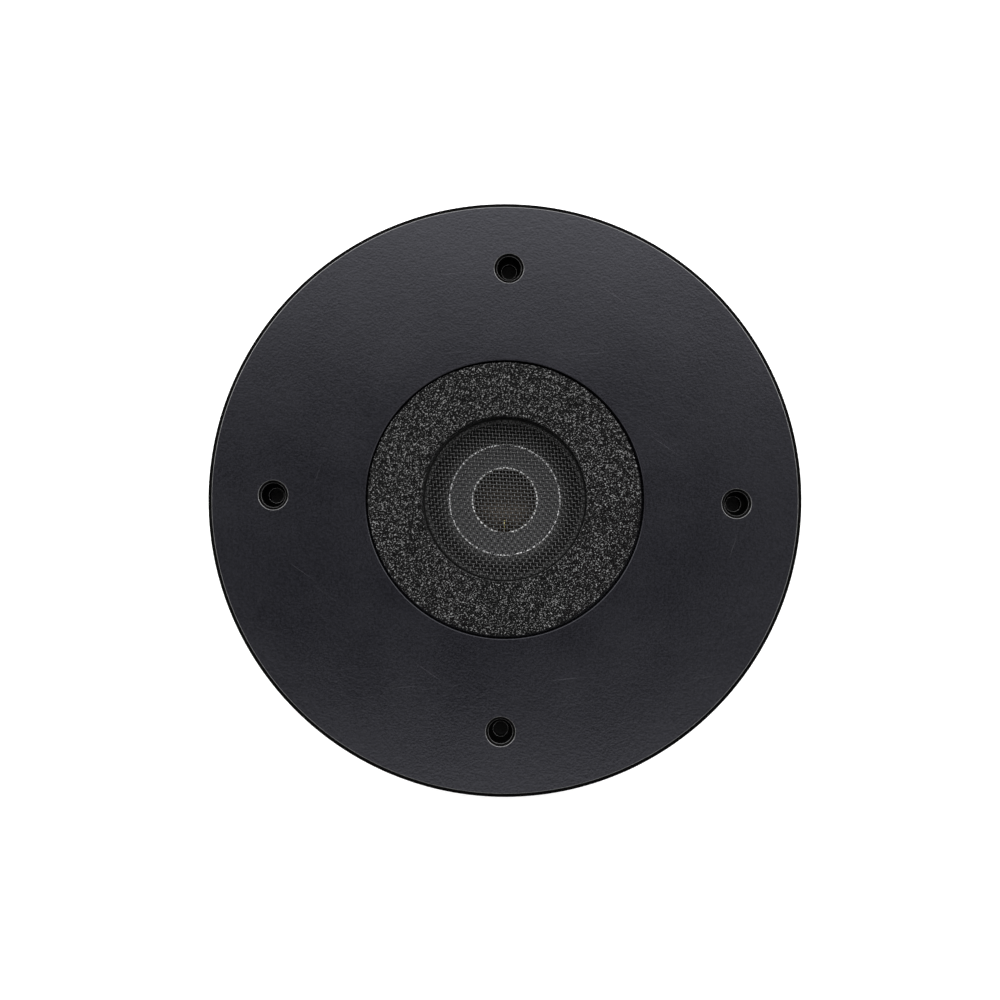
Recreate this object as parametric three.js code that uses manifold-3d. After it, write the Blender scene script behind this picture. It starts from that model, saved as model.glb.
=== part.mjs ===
// A round-flanged tweeter with an inverted dome: a bowl-shaped diaphragm behind a woven wire grille,
// set in a foam ring, with a ferrite motor behind the faceplate.
//
// Lengths are millimetres. +Z is the way the sound leaves. The tweeter lies on its back, and the
// origin is the centre of the motor's rear face.

import * as THREE from 'three';
import { mergeVertices } from 'three/addons/utils/BufferGeometryUtils.js';
import Module from 'manifold-3d';

const wasm = await Module();
wasm.setup();

// ---------------------------------------------------------------- driving dimensions

// Faceplate
const plateRadius = 65;
const plateThickness = 8;
const plateEdge = 0.9; // front edge rounding
const rearEdge = 0.5; // rear edge chamfer
const recessRadius = 30.47; // the recess that holds the foam ring
const recessDepth = 4.6;
const recessChamfer = 0.35;

// Mounting holes: a bore for the screw head, and a smaller hole for the shank
const mountHoles = 4;
const headBoreRadius = 2.65;
const headBoreDepth = 5.5;
const mouthChamfer = 0.6;
const shankHoleRadius = 1.65;

// Gasket behind the flange
const gasketThickness = 1.5;
const gasketMargin = 1; // inside the flange's edge
const gasketInnerGap = 0.5;

// Foam ring
const foamGap = 0.5; // between the foam and the recess wall
const foamBelowFace = 0.2;
const foamShift = [-0.1, 0.12]; // the ring is laid in by hand, a little off centre

// Throat, grille and clamp ring
const throatBodyRadius = 18.6;
const throatSeatGap = 0.3;
const throatBend = [1.1, 1]; // the wall's control point, in from the mouth and up from the foot
const throatFootGap = 0.05;
const lipInset = 0.65; // the throat's lip, inside the foam ring's hole
const lipHeight = 0.2;
const lipWidth = 1.05; // from the throat's mouth to the lip's outside
const foamOverhang = 0.4;
const grilleThickness = 0.5;
const grilleRise = 1.6; // how far the grille bulges
const grilleBrim = 1.1; // flat width inside the throat's mouth
const grilleEdgeGap = 0.2; // the grille's edge inside the lip's
const grilleRingWidth = 0.5;
const grilleRingHeight = 0.6;
const clampRadius = 12.2;
const clampThickness = 0.35;
const clampLipWidth = 0.3;
const clampLipHeight = 0.2;

// Diaphragm
const travel = 0.4; // each way from rest
const rimClearance = 1; // the dome's rim to the top plate, at the end of its travel
const coilRadius = 7.12; // inside of the voice coil's former
const formerWall = 0.15;
const windingWall = 0.33;
const windingHeight = 2.4;
const formerBelowWinding = 0.1;
const domeDepth = 2.4;
const domeWall = 0.18;
const rimWall = 0.2;
const rimInset = 0.17; // the bowl's edge, inside the former
const beadInset = 0.02;
const beadWidth = 0.4;
const beadHeight = 0.2;
const beadRounding = 0.1;
const glueWidth = 0.43; // how far the surround overlaps the dome's rim
const surroundWall = 0.25;
const surroundRise = 1.4; // the surround's outer edge above its inner edge
const surroundGrip = 2; // width held under the clamp ring
const frameBoreInset = 0.5; // the frame's bore outside the clamp ring's
const frameStepGap = 0.3;
const frameSeatGap = 0.2; // the frame inside the throat ring's outline
const tailRadius = 0.13;
const tailLift = 0.06; // glue under the wire

// Motor
const magnetRadius = 36;
const magnetHoleRadius = 16;
const magnetThickness = 14;
const steelInset = 1; // the steel plates are this much smaller than the magnet
const topPlateThickness = 4;
const yokeThickness = 5;
const innerGap = 0.32; // pole to former
const outerGap = 0.35; // winding to top plate
const poleDrop = 0.4; // the pole's rim below the top plate's face
const poleRimWidth = 0.8;
const dishDepth = 2.7;
const poleChamfer = 0.3;
const yokeChamfer = 1;
const magnetChamfer = 0.8;
const padRadius = 4.2;
const padThickness = 0.6;
const shortingGap = 0.3;
const shortingWall = 2.5;
const shortingHeight = 6;
const bossHeight = 5; // the faceplate's boss, from the flange to the top plate
const bossMargin = 0.3;

// Assembly screws, hidden under the foam
const assemblyScrews = 4;
const screwRadius = 1.5;
const screwHeadRadius = 2.75;
const screwHeadHeight = 2.4;
const screwGap = 0.25;
const screwHeadInset = 0.1; // the heads sit this far under the foam's shelf
const screwEndGap = 0.4; // from the screw's end to the magnet
const screwHeadChamfer = 0.3;
const socketRadius = 1.4;
const socketDepth = 1.2;
const screwPitchAngle = Math.PI / 4; // the first screw's angle

// Terminals and leads
const leadSpacing = 8;
const boardWidth = 19;
const boardWall = 2.6;
const boardHeight = 12.2;
const boardDrop = 0.3; // below the top plate's face
const boardGlueGap = 0.2;
const stripThickness = 0.3;
const stripWidth = 1.6;
const stripHeight = 0.4; // above the top plate
const grooveHeight = 1.2;
const grooveWidth = 2.4;
const tabThickness = 0.8;
const tabWidths = { positive: 4.8, negative: 2.8 };
const tabLength = 19;
const tabTopDrop = 1.4;
const tabTip = [0.7, 1.4]; // the tip's taper, across and along
const tabHoleShare = 0.16; // the latch hole's radius, as a share of the tab's width
const tabHoleRise = 3.6; // the latch hole above the tip
const rivetRadius = 1;
const rivetGap = 0.12;
const rivetHeadRadius = 1.3; // inside the narrow tab, so that the head bears on it all round
const rivetHeadHeight = 0.6;
const rivetDepth = 1.8;
const rivetDrop = 3.7; // rivet's axis below the top plate's face
const stripFoot = 2; // how far the strip reaches below the rivet's axis
const stripSetback = 0.2; // from the frame's bore to the strip's end
const flexRadius = 0.12;
const flexHeight = 0.62; // the lead's start above the top plate
const flexOverlap = 1; // how far the lead lies on the strip
const gap = 0.05; // between glued round faces

// Roundness: every coaxial piece of a group has the same number of sides
const wideSides = 48;
const coreSides = 36;
const holeSides = 16;

// ---------------------------------------------------------------- levels and radii worked out from them

const magnetRear = yokeThickness;
const topPlateRear = magnetRear + magnetThickness;
const topPlateFace = topPlateRear + topPlateThickness;
const flangeRear = topPlateFace + bossHeight;
const faceLevel = flangeRear + plateThickness;
const shelfLevel = faceLevel - recessDepth;

const bossRadius = magnetRadius + bossMargin;
const steelRadius = magnetRadius - steelInset;
const seatRadius = throatBodyRadius + throatSeatGap;
const mountCircle = (bossRadius + plateRadius) / 2;
const screwCircle = (seatRadius + recessRadius) / 2;

const poleRadius = coilRadius - innerGap;
const formerRadius = coilRadius + formerWall;
const windingRadius = formerRadius + windingWall;
const plateHoleRadius = windingRadius + outerGap;
const poleRimLevel = topPlateFace - poleDrop;

const rimTop = topPlateFace + travel + rimClearance;
const rimUnder = rimTop - rimWall;
const bowlRadius = coilRadius - rimInset;
const beadInner = coilRadius - beadInset;
const beadOuter = beadInner + beadWidth;
const rimRadius = beadOuter + glueWidth;

const surroundInnerTop = rimTop + surroundWall;
const surroundOuterTop = surroundInnerTop + surroundRise;
const surroundOuterUnder = surroundOuterTop - surroundWall;
const surroundOuterRadius = clampRadius + surroundGrip;
const frameBore = clampRadius + frameBoreInset;
const frameStep = surroundOuterRadius + frameStepGap;
const frameRadius = throatBodyRadius - frameSeatGap;
const clampTop = surroundOuterTop + clampThickness;
const throatFoot = clampRadius + clampLipWidth + throatFootGap;
const lipRadius = throatBodyRadius - lipInset;
const throatMouthRadius = lipRadius - lipWidth;
const lipTop = shelfLevel + lipHeight;

// ---------------------------------------------------------------- geometry helpers

// Points of an arc about [centreR, centreZ], from one angle to another, in radians.
function arc(centreR, centreZ, radius, from, to, steps) {
  return Array.from({ length: steps + 1 }, (_, i) => {
    const angle = from + ((to - from) * i) / steps;
    return [centreR + radius * Math.cos(angle), centreZ + radius * Math.sin(angle)];
  });
}

// A profile of [radius, height] points, listed anticlockwise, turned about Z. It closes on itself,
// unless it starts and ends on the axis.
function turned(profile, sides) {
  const closed = profile[0][0] === 0 ? profile : [...profile, profile[0]];
  const points = closed.map(([radius, height]) => new THREE.Vector2(radius, height));
  return new THREE.LatheGeometry(points, sides).rotateX(Math.PI / 2);
}

function ring(inner, outer, low, high, sides) {
  return turned([[inner, low], [outer, low], [outer, high], [inner, high]], sides);
}

function rod(radius, low, high, sides = holeSides) {
  return turned([[0, low], [radius, low], [radius, high], [0, high]], sides);
}

function box(low, high) {
  const size = high.map((value, axis) => value - low[axis]);
  const centre = high.map((value, axis) => (value + low[axis]) / 2);
  return new THREE.BoxGeometry(...size).translate(...centre);
}

// A flat outline of [y, z] points, pushed along X from -width/2 to +width/2.
function profileAlongX(outline, width) {
  const shape = new THREE.Shape(outline.map(([y, z]) => new THREE.Vector2(y, z)));
  const basis = new THREE.Matrix4().makeBasis(
    new THREE.Vector3(0, 1, 0),
    new THREE.Vector3(0, 0, 1),
    new THREE.Vector3(1, 0, 0),
  );
  const geometry = new THREE.ExtrudeGeometry(shape, { depth: width, bevelEnabled: false });
  return geometry.applyMatrix4(basis).translate(-width / 2, 0, 0);
}

function toSolid(geometry) {
  const bare = new THREE.BufferGeometry();
  bare.setAttribute('position', geometry.getAttribute('position'));
  bare.setIndex(geometry.getIndex());
  const merged = mergeVertices(bare, 1e-5);
  const corners = merged.getIndex().array;
  const triangles = [];
  for (let i = 0; i < corners.length; i += 3) {
    const [a, b, c] = corners.subarray(i, i + 3);
    if (a !== b && b !== c && c !== a) triangles.push(a, b, c);
  }
  return new wasm.Manifold(new wasm.Mesh({
    numProp: 3,
    vertProperties: new Float32Array(merged.getAttribute('position').array),
    triVerts: new Uint32Array(triangles),
  }));
}

function fromSolid(solid) {
  const { vertProperties, triVerts } = solid.getMesh();
  const geometry = new THREE.BufferGeometry();
  geometry.setAttribute('position', new THREE.BufferAttribute(vertProperties, 3));
  geometry.setIndex(new THREE.BufferAttribute(triVerts, 1));
  geometry.computeVertexNormals();
  return geometry;
}

function cut(geometry, cutters) {
  return fromSolid(cutters.reduce((solid, cutter) => solid.subtract(toSolid(cutter)), toSolid(geometry)));
}

// Copies of a piece at even angles round the axis, on a circle.
function around(count, circle, firstAngle, make) {
  return Array.from({ length: count }, (_, i) => {
    const angle = firstAngle + (i * 2 * Math.PI) / count;
    return make(i).translate(circle * Math.cos(angle), circle * Math.sin(angle), 0);
  });
}

// ---------------------------------------------------------------- materials

function finish(color, roughness, metalness) {
  return () => new THREE.MeshStandardMaterial({ color, roughness, metalness });
}

const finishes = {
  blackPlate: finish('#1b1b20', 0.4, 0.2),
  blackPlastic: finish('#141416', 0.5, 0),
  foam: finish('#37373a', 1, 0),
  wire: finish('#3a3a3e', 0.4, 0.8),
  brightAluminium: finish('#d0d0d2', 0.25, 1),
  surround: finish('#6b6b6e', 0.8, 0),
  bronze: finish('#857a6c', 0.3, 1),
  copper: finish('#b06a3b', 0.35, 1),
  former: finish('#c9a86a', 0.5, 0),
  felt: finish('#2c2c2e', 1, 0),
  zincSteel: finish('#a8a9a6', 0.4, 1),
  ferrite: finish('#2b2b2d', 0.7, 0),
  blackSteel: finish('#222224', 0.45, 0.8),
  board: finish('#8a6b3c', 0.6, 0),
  brass: finish('#c7a350', 0.3, 1),
  tinned: finish('#c4c4c0', 0.35, 1),
};

const tweeter = new THREE.Group();

function add(name, geometry, material) {
  const mesh = new THREE.Mesh(geometry, material());
  mesh.name = name;
  tweeter.add(mesh);
}

// ---------------------------------------------------------------- leads: places shared by several pieces

const leads = [
  { name: 'positive', x: -leadSpacing / 2 },
  { name: 'negative', x: leadSpacing / 2 },
];
const boardFace = -(magnetRadius + boardWall); // outer face of the terminal board, on -Y
const stripUnder = topPlateFace + stripHeight;
const stripTop = stripUnder + stripThickness;
const stripStart = -(frameBore + stripSetback);
const tabFace = boardFace - stripThickness;
const rivetLevel = topPlateFace - rivetDrop;
const leadGrooves = leads.map(({ x }) => box(
  [x - grooveWidth / 2, -(bossRadius + 1), topPlateFace - 1],
  [x + grooveWidth / 2, -clampRadius, topPlateFace + grooveHeight],
));

// A round hole along Y for a rivet, between two distances from the axis.
function rivetHole(x, near, far) {
  return rod(rivetRadius + rivetGap, near, far, 12).rotateX(Math.PI / 2).translate(x, 0, rivetLevel);
}

// ---------------------------------------------------------------- faceplate and what bolts it down

function mountHole() {
  const mouth = headBoreRadius + mouthChamfer;
  return turned([
    [0, flangeRear - 1],
    [shankHoleRadius, flangeRear - 1],
    [shankHoleRadius, faceLevel - headBoreDepth],
    [headBoreRadius, faceLevel - headBoreDepth],
    [headBoreRadius, faceLevel - mouthChamfer],
    [mouth, faceLevel],
    [mouth, faceLevel + 1],
    [0, faceLevel + 1],
  ], holeSides);
}

const screwHeadFloor = shelfLevel - screwHeadHeight - screwHeadInset;

function assemblyHole() {
  const headHole = screwHeadRadius + screwGap;
  const shankHole = screwRadius + screwGap;
  return turned([
    [0, topPlateFace - 1],
    [shankHole, topPlateFace - 1],
    [shankHole, screwHeadFloor],
    [headHole, screwHeadFloor],
    [headHole, shelfLevel + 1],
    [0, shelfLevel + 1],
  ], holeSides);
}

function faceplate() {
  const body = turned([
    [seatRadius, topPlateFace],
    [bossRadius, topPlateFace],
    [bossRadius, flangeRear],
    [plateRadius - rearEdge, flangeRear],
    [plateRadius, flangeRear + rearEdge],
    ...arc(plateRadius - plateEdge, faceLevel - plateEdge, plateEdge, 0, Math.PI / 2, 3),
    [recessRadius + recessChamfer, faceLevel],
    [recessRadius, faceLevel - recessChamfer],
    [recessRadius, shelfLevel],
    [seatRadius, shelfLevel],
  ], wideSides);
  return cut(body, [
    ...around(mountHoles, mountCircle, 0, mountHole),
    ...around(assemblyScrews, screwCircle, screwPitchAngle, assemblyHole),
    ...leadGrooves,
  ]);
}

add('faceplate', faceplate(), finishes.blackPlate);
add(
  'mounting_gasket',
  ring(
    bossRadius + gasketInnerGap,
    plateRadius - gasketMargin,
    flangeRear - gasketThickness,
    flangeRear,
    wideSides,
  ),
  finishes.foam,
);

function assemblyScrew() {
  const head = screwHeadFloor + screwHeadHeight;
  const body = turned([
    [0, topPlateRear + screwEndGap],
    [screwRadius, topPlateRear + screwEndGap],
    [screwRadius, screwHeadFloor],
    [screwHeadRadius, screwHeadFloor],
    [screwHeadRadius, head - screwHeadChamfer],
    [screwHeadRadius - screwHeadChamfer, head],
    [0, head],
  ], 12);
  return cut(body, [rod(socketRadius, head - socketDepth, head + 1, 6)]);
}

around(assemblyScrews, screwCircle, screwPitchAngle, assemblyScrew).forEach((geometry, i) => {
  add(`assembly_screw_${i + 1}`, geometry, finishes.zincSteel);
});

// ---------------------------------------------------------------- foam ring, throat and grille

add(
  'foam_ring',
  ring(
    throatBodyRadius - foamOverhang,
    recessRadius - foamGap,
    shelfLevel,
    faceLevel - foamBelowFace,
    wideSides,
  ).translate(...foamShift, 0),
  finishes.foam,
);

function throatRing() {
  const wall = new THREE.QuadraticBezierCurve(
    new THREE.Vector2(throatMouthRadius, lipTop),
    new THREE.Vector2(throatMouthRadius - throatBend[0], clampTop + throatBend[1]),
    new THREE.Vector2(throatFoot, clampTop),
  );
  return turned([
    [throatBodyRadius, clampTop],
    [throatBodyRadius, shelfLevel],
    [lipRadius, shelfLevel],
    [lipRadius, lipTop],
    ...wall.getPoints(6).map((point) => [point.x, point.y]),
  ], coreSides);
}

add('throat_ring', throatRing(), finishes.blackPlastic);

// A flat brim, and a shallow bulge inside it.
function grille() {
  const bulgeRadius = throatMouthRadius - grilleBrim;
  const sphere = (bulgeRadius ** 2 + grilleRise ** 2) / (2 * grilleRise);
  const heightAt = (radius) => Math.sqrt(sphere ** 2 - radius ** 2) - (sphere - grilleRise);
  const bulge = [0, 0.3, 0.6, 0.85, 1].map((share) => [bulgeRadius * share, heightAt(bulgeRadius * share)]);
  const brimRadius = lipRadius - grilleEdgeGap;
  return turned([
    ...bulge.map(([radius, height]) => [radius, lipTop + height]),
    [brimRadius, lipTop],
    [brimRadius, lipTop + grilleThickness],
    ...bulge.reverse().map(([radius, height]) => [radius, lipTop + height + grilleThickness]),
  ], coreSides);
}

add('grille_mesh', grille(), finishes.wire);
add(
  'grille_ring',
  ring(
    lipRadius - grilleRingWidth,
    lipRadius,
    lipTop + grilleThickness,
    lipTop + grilleThickness + grilleRingHeight,
    coreSides,
  ),
  finishes.blackPlastic,
);

// ---------------------------------------------------------------- clamp ring, surround and its frame

function clampRing() {
  const lip = clampRadius + clampLipWidth;
  return turned([
    [clampRadius, surroundOuterTop],
    [throatBodyRadius, surroundOuterTop],
    [throatBodyRadius, clampTop],
    [lip, clampTop],
    [lip, clampTop + clampLipHeight],
    [clampRadius, clampTop + clampLipHeight],
  ], coreSides);
}

// The surround drops from the clamp ring to the dome's rim in one smooth S.
function surround() {
  const steps = 6;
  const slope = Array.from({ length: steps + 1 }, (_, i) => {
    const share = i / steps;
    return [
      rimRadius + (clampRadius - rimRadius) * share,
      surroundInnerTop + surroundRise * THREE.MathUtils.smoothstep(share, 0, 1),
    ];
  });
  const under = slope.map(([radius, height]) => [radius, height - surroundWall]);
  return turned([
    [beadOuter + gap, rimTop],
    ...under,
    [surroundOuterRadius, surroundOuterUnder],
    [surroundOuterRadius, surroundOuterTop],
    ...slope.reverse(),
    [beadOuter + gap, surroundInnerTop],
  ], coreSides);
}

function diaphragmFrame() {
  const body = turned([
    [frameBore, topPlateFace],
    [frameRadius, topPlateFace],
    [frameRadius, surroundOuterTop],
    [frameStep, surroundOuterTop],
    [frameStep, surroundOuterUnder],
    [frameBore, surroundOuterUnder],
  ], coreSides);
  return cut(body, leadGrooves);
}

add('clamp_ring', clampRing(), finishes.brightAluminium);
add('surround', surround(), finishes.surround);
add('diaphragm_frame', diaphragmFrame(), finishes.blackPlastic);

// ---------------------------------------------------------------- moving diaphragm

// Height of the bowl's upper face at a radius: a cap of a sphere, lowest on the axis.
function bowlHeight(radius) {
  const sphere = (bowlRadius ** 2 + domeDepth ** 2) / (2 * domeDepth);
  return rimTop - domeDepth + sphere - Math.sqrt(sphere ** 2 - radius ** 2);
}

function invertedDome() {
  const bowl = [0, 0.25, 0.5, 0.75, 1].map((share) => [bowlRadius * share, bowlHeight(bowlRadius * share)]);
  const under = bowl.slice(0, -1).map(([radius, height]) => [radius, height - domeWall]);
  const edgeUnder = bowlHeight(bowlRadius - rimWall) - domeWall;
  return turned([
    ...under,
    [bowlRadius - rimWall, edgeUnder],
    [bowlRadius, rimUnder],
    [rimRadius, rimUnder],
    [rimRadius, rimTop],
    [beadOuter, rimTop],
    [beadOuter, rimTop + beadHeight / 2],
    [beadOuter - beadRounding, rimTop + beadHeight],
    [beadInner + beadRounding, rimTop + beadHeight],
    [beadInner, rimTop],
    ...bowl.reverse(),
  ], coreSides);
}

add('inverted_dome', invertedDome(), finishes.bronze);

const windingMiddle = topPlateRear + topPlateThickness / 2;
const windingLow = windingMiddle - windingHeight / 2;
add(
  'voice_coil_former',
  ring(coilRadius, formerRadius, windingLow - formerBelowWinding, rimUnder, coreSides),
  finishes.former,
);
add(
  'voice_coil',
  ring(formerRadius + 0.01, windingRadius, windingLow, windingLow + windingHeight, coreSides),
  finishes.copper,
);

// The coil's end runs over the rim and down inside the bowl, a little above its surface.
function coilTail() {
  const shares = [0.5, 0.65, 0.8, 0.93];
  const lift = tailRadius + tailLift;
  const points = shares.map((share) => {
    const radius = bowlRadius * share;
    return new THREE.Vector3(0, -radius, bowlHeight(radius) + lift);
  });
  const section = new THREE.Shape().absarc(0, 0, tailRadius, 0, 2 * Math.PI);
  return new THREE.ExtrudeGeometry(section, {
    steps: 6,
    curveSegments: 8,
    bevelEnabled: false,
    extrudePath: new THREE.CatmullRomCurve3(points),
  });
}

add('coil_tail', coilTail(), finishes.copper);

// ---------------------------------------------------------------- motor

// Height of the dish in the pole's end at a radius.
const dishRadius = poleRadius - poleRimWidth;
function dishHeight(radius) {
  const sphere = (dishRadius ** 2 + dishDepth ** 2) / (2 * dishDepth);
  return poleRimLevel - dishDepth + sphere - Math.sqrt(sphere ** 2 - radius ** 2);
}

function yoke() {
  const dish = [1, 0.8, 0.6, 0.4, 0.2, 0].map((share) => [dishRadius * share, dishHeight(dishRadius * share)]);
  return turned([
    [0, 0],
    [steelRadius - yokeChamfer, 0],
    [steelRadius, yokeChamfer],
    [steelRadius, yokeThickness],
    [poleRadius, yokeThickness],
    [poleRadius, poleRimLevel - poleChamfer],
    [poleRadius - poleChamfer, poleRimLevel],
    ...dish,
  ], coreSides);
}

function dampingPad() {
  const shares = [0, 0.35, 0.7, 1];
  const base = shares.map((share) => [padRadius * share, dishHeight(padRadius * share) + gap]);
  const top = base.map(([radius, height]) => [radius, height + padThickness]);
  return turned([...base, ...top.reverse()], coreSides);
}

function topPlate() {
  const body = ring(plateHoleRadius, steelRadius, topPlateRear, topPlateFace, coreSides);
  const tapped = () => rod(screwRadius + screwGap, topPlateRear - 1, topPlateFace + 1);
  return cut(body, around(assemblyScrews, screwCircle, screwPitchAngle, tapped));
}

function magnet() {
  return turned([
    [magnetHoleRadius, magnetRear],
    [magnetRadius - magnetChamfer, magnetRear],
    [magnetRadius, magnetRear + magnetChamfer],
    [magnetRadius, topPlateRear - magnetChamfer],
    [magnetRadius - magnetChamfer, topPlateRear],
    [magnetHoleRadius, topPlateRear],
  ], wideSides);
}

add('yoke', yoke(), finishes.blackSteel);
add('damping_pad', dampingPad(), finishes.felt);
add('magnet', magnet(), finishes.ferrite);
add('top_plate', topPlate(), finishes.blackSteel);
const shortingBore = poleRadius + shortingGap;
add(
  'shorting_ring',
  ring(shortingBore, shortingBore + shortingWall, magnetRear, magnetRear + shortingHeight, coreSides),
  finishes.copper,
);

// ---------------------------------------------------------------- terminals and leads

function terminalBoard() {
  const top = topPlateFace - boardDrop;
  const block = box(
    [-boardWidth / 2, boardFace, top - boardHeight],
    [boardWidth / 2, boardFace + boardWall * 3, top],
  );
  const saddle = rod(magnetRadius + boardGlueGap, top - boardHeight - 1, top + 1, wideSides);
  const holes = leads.map(({ x }) => rivetHole(x, -boardFace - rivetDepth - 0.1, -boardFace + 1));
  return cut(block, [saddle, ...holes]);
}

// A copper strip: along the groove under the boss, over the board's top and down its face.
function leadStrip(x) {
  const foot = rivetLevel - stripFoot;
  const outline = [
    [stripStart, stripUnder],
    [stripStart, stripTop],
    [boardFace - stripThickness, stripTop],
    [boardFace - stripThickness, foot],
    [boardFace, foot],
    [boardFace, stripUnder],
  ];
  const strip = profileAlongX(outline, stripWidth * 2).translate(x, 0, 0);
  const trims = [-1, 1].map((side) => {
    const inner = x + (side * stripWidth) / 2;
    const outer = x + side * stripWidth * 2;
    return box(
      [Math.min(inner, outer), boardFace + 1, stripUnder - 1],
      [Math.max(inner, outer), 0, stripTop + 1],
    );
  });
  return cut(strip, [...trims, rivetHole(x, -boardFace - 1, -boardFace + 1)]);
}

// A push-on tab, standing down past the board.
function terminalTab(x, width) {
  const top = topPlateFace - tabTopDrop;
  const tip = top - tabLength;
  const shape = new THREE.Shape([
    new THREE.Vector2(-width / 2 + tabTip[0], tip),
    new THREE.Vector2(width / 2 - tabTip[0], tip),
    new THREE.Vector2(width / 2, tip + tabTip[1]),
    new THREE.Vector2(width / 2, top),
    new THREE.Vector2(-width / 2, top),
    new THREE.Vector2(-width / 2, tip + tabTip[1]),
  ]);
  shape.holes.push(new THREE.Path().absarc(0, tip + tabHoleRise, width * tabHoleShare, 0, 2 * Math.PI));
  const blade = new THREE.ExtrudeGeometry(shape, {
    depth: tabThickness,
    curveSegments: 10,
    bevelEnabled: false,
  }).rotateX(Math.PI / 2).translate(x, tabFace, 0);
  return cut(blade, [rivetHole(x, -tabFace - 1, -tabFace + tabThickness + 1)]);
}

function terminalRivet(x) {
  const outer = -tabFace + tabThickness;
  return turned([
    [0, -boardFace - rivetDepth],
    [rivetRadius, -boardFace - rivetDepth],
    [rivetRadius, outer],
    [rivetHeadRadius, outer],
    [rivetHeadRadius * 0.85, outer + rivetHeadHeight * 0.7],
    [rivetHeadRadius * 0.45, outer + rivetHeadHeight],
    [0, outer + rivetHeadHeight],
  ], 12).rotateX(Math.PI / 2).translate(x, 0, rivetLevel);
}

// A limp braided lead from the former to the end of the strip, which it lies on.
function leadFlex(x) {
  const start = Math.sqrt(formerRadius ** 2 - x ** 2) + flexRadius + gap;
  const startLevel = topPlateFace + flexHeight;
  const endLevel = stripTop + flexRadius + gap;
  const path = new THREE.CatmullRomCurve3([
    new THREE.Vector3(x, -start, startLevel),
    new THREE.Vector3(x, -(start * 0.7 - stripStart * 0.3), startLevel + 0.05),
    new THREE.Vector3(x, -(start * 0.35 - stripStart * 0.65), endLevel + 0.02),
    new THREE.Vector3(x, stripStart - flexOverlap, endLevel),
  ]);
  const section = new THREE.Shape().absarc(0, 0, flexRadius, 0, 2 * Math.PI);
  return new THREE.ExtrudeGeometry(section, {
    steps: 12,
    curveSegments: 8,
    bevelEnabled: false,
    extrudePath: path,
  });
}

add('terminal_board', terminalBoard(), finishes.board);
leads.forEach(({ name, x }) => {
  add(`terminal_${name}`, terminalTab(x, tabWidths[name]), finishes.tinned);
  add(`terminal_rivet_${name}`, terminalRivet(x), finishes.brass);
  add(`lead_strip_${name}`, leadStrip(x), finishes.copper);
  add(`lead_flex_${name}`, leadFlex(x), finishes.copper);
});

export default tweeter;
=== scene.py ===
# %% [markdown]
# # A tweeter with an inverted dome
#
# A tweeter is the small loudspeaker that makes the high notes. This one is built from the front like this:
# a thick black faceplate, a ring of foam laid in its middle, a bulged grille of woven wire, a dished
# throat, a bright ring that clamps the grey surround, and a bronze bowl that moves. Behind the plate sits
# the motor: two steel pieces with a ferrite ring between them.
#
# The CAD solids already say where every piece is and how the bowl moves. Here each one gets its real
# surface.

# %% Load the CAD frame
import math

import bmesh
import bpy
import numpy as np
from mathutils import Matrix, Vector


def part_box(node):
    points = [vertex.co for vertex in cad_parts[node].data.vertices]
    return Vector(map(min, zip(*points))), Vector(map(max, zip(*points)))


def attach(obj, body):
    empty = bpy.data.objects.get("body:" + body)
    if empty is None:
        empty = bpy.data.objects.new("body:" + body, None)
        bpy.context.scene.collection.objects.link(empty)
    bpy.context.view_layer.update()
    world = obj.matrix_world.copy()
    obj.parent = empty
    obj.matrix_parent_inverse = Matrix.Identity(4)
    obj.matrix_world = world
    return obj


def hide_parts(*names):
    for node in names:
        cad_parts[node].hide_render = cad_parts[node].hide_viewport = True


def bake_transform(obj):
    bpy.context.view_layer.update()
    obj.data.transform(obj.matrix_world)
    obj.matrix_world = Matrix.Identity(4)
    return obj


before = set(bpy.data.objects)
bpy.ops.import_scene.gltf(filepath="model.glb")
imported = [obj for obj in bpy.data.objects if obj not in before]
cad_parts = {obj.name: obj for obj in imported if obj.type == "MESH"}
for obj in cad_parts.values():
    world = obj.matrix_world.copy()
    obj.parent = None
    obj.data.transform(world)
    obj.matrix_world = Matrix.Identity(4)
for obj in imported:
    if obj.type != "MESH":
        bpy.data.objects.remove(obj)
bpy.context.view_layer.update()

scene = bpy.context.scene
MM = 0.001

# %% [markdown]
# ## Levels
#
# The real tweeter is stacked like a sandwich, so a few heights describe most of it. Typing them in would
# work, but reading them from the CAD boxes keeps this file and the solids together. Lengths below are
# millimetres, and the mesh helper turns them into metres at the very end.

# %% Heights and radii from the CAD boxes
def low(node):
    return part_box(node)[0].z / MM


def high(node):
    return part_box(node)[1].z / MM


def radius(node):
    """Half the widest side of a round node's box."""
    corner_low, corner_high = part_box(node)
    return max((corner_high - corner_low).xy) / 2 / MM


face = high("faceplate")
flange_rear = high("mounting_gasket")
shelf = low("foam_ring")
top_plate_face = high("top_plate")
plate_radius = radius("faceplate")
clamp_top = low("throat_ring")
dome_rim = low("surround")
print(f"face {face:.2f}, shelf {shelf:.2f}, dome rim {dome_rim:.2f}, plate radius {plate_radius:.2f} mm")

# %% [markdown]
# ## Camera
#
# The tweeter lies on its back and is looked at from straight above, a few millimetres below the middle,
# with the part turned by about one degree. A camera can be placed by angles, but a matrix made from three
# axes says exactly which way is right, up and back, so that is used here.

# %% Camera above the plate
camera_height = 355.0
camera_back = 7.2
part_turn = math.radians(1.06)
aim_offset = (-1.05, -0.15)

right = Vector((math.cos(part_turn), math.sin(part_turn), 0))
up = Vector((-math.sin(part_turn), math.cos(part_turn), 0))
eye = Vector((0, -camera_back, face + camera_height))
aim = Vector((0, 0, face)) + aim_offset[0] * right + aim_offset[1] * up
back = (eye - aim).normalized()
camera_x = (right - right.dot(back) * back).normalized()
camera_y = back.cross(camera_x)

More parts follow.
